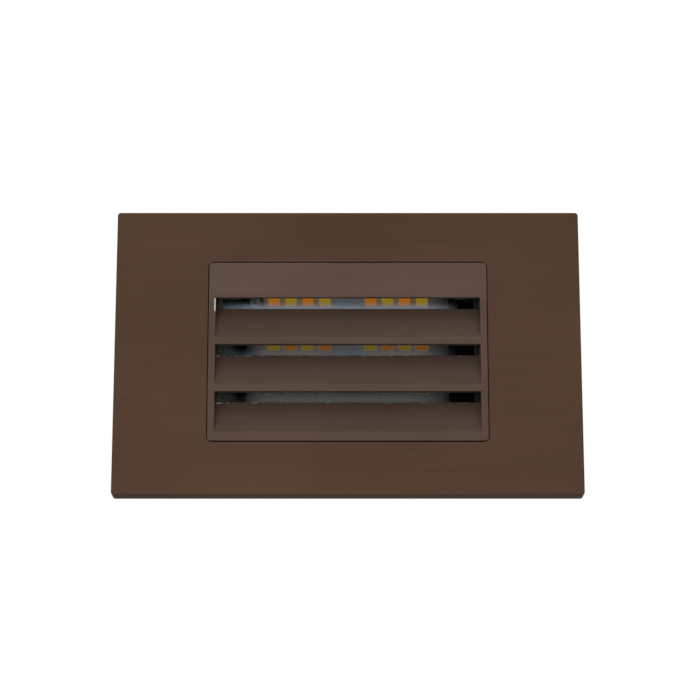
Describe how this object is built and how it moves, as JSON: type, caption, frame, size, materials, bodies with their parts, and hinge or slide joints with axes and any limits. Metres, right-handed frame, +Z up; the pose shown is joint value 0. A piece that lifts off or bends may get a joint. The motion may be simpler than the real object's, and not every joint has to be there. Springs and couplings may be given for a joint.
{
  "type": "louvered step light",
  "caption": "Rectangular recessed step light with a louvered front in a push-fit faceplate, a colour-selectable LED board behind a clear lens, and a finned driver housing.",
  "frame": {"origin": "midway between the two box screws, on the wall's face", "axes": "+X to the right as seen from the front, +Y into the wall along the box screws, +Z up"},
  "size_m": [0.12, 0.0481, 0.075],
  "materials": {
    "bronze_plate": "dark bronze paint over cast aluminium, fine horizontal brushing, satin",
    "bronze_insert": "dark bronze paint over cast aluminium, satin",
    "foam_black": "closed-cell foam",
    "zinc_plated_steel": "sheet steel, black-passivated zinc, satin",
    "nylon": "natural nylon, matt",
    "screw_steel": "bright zinc",
    "silicone": "grey silicone, matt",
    "clear_lens": "clear, lightly hazed",
    "liner_black": "matt black",
    "white_board": "white solder mask over an aluminium core",
    "warm_phosphor": "orange phosphor",
    "cool_phosphor": "yellow phosphor",
    "thermal_pad": "soft pad",
    "cast_aluminium": "bead-blasted casting",
    "pin_brass": "tinned ends",
    "insulating_sheet": "fibre sheet",
    "green_board": "green solder mask",
    "ferrite": "sintered ferrite",
    "winding_tape": "polyester tape",
    "copper_wire": "enamelled copper",
    "capacitor_can": "shrink sleeve",
    "film_case": "moulded case",
    "black_epoxy": "moulded epoxy",
    "blue_epoxy": "dipped epoxy",
    "resistor_body": "lacquered ceramic",
    "terminal_green": "moulded nylon",
    "slider_white": "moulded acetal",
    "bush_rubber": "matt rubber",
    "ground_green": "green anodic lacquer"
  },
  "bodies": {
    "light": {"louver_insert": "bronze_insert", "mounting_yoke": "zinc_plated_steel", "snap_bushes": "nylon", "box_screws": "screw_steel", "clamp_screws": "screw_steel", "lens_gasket": "silicone", "lens": "clear_lens", "chamber_liner": "liner_black", "led_board": "white_board", "warm_leds": "warm_phosphor", "cool_leds": "cool_phosphor", "board_screws": "screw_steel", "thermal_pad": "thermal_pad", "housing": "cast_aluminium", "link_pins": "pin_brass", "pin_insulator": "nylon", "insulating_sheet": "insulating_sheet", "driver_board": "green_board", "driver_screws": "screw_steel", "transformer_core": "ferrite", "transformer_winding": "winding_tape", "transformer_base": "nylon", "bulk_capacitors": "capacitor_can", "film_capacitor": "film_case", "output_capacitor": "capacitor_can", "bridge_rectifier": "black_epoxy", "driver_chip": "black_epoxy", "choke_core": "ferrite", "choke_winding": "copper_wire", "varistor": "blue_epoxy", "fuse_resistor": "resistor_body", "terminal_block": "terminal_green", "selector_body": "black_epoxy", "cover_gasket": "silicone", "rear_cover": "cast_aluminium", "cover_screws": "screw_steel", "lead_bush": "bush_rubber", "ground_screw": "ground_green"},
    "cover_plate": {"faceplate": "bronze_plate", "wall_gasket": "foam_black"},
    "selector": {"selector_slider": "slider_white"}
  },
  "joints": [
    {"name": "faceplate_pull", "type": "slide", "parent": "light", "child": "cover_plate", "axis": [0, -1, 0], "range_m": [0, 0.02]},
    {"name": "selector_slide", "type": "slide", "parent": "light", "child": "selector", "axis": [1, 0, 0], "range_m": [-0.002, 0.002]}
  ]
}
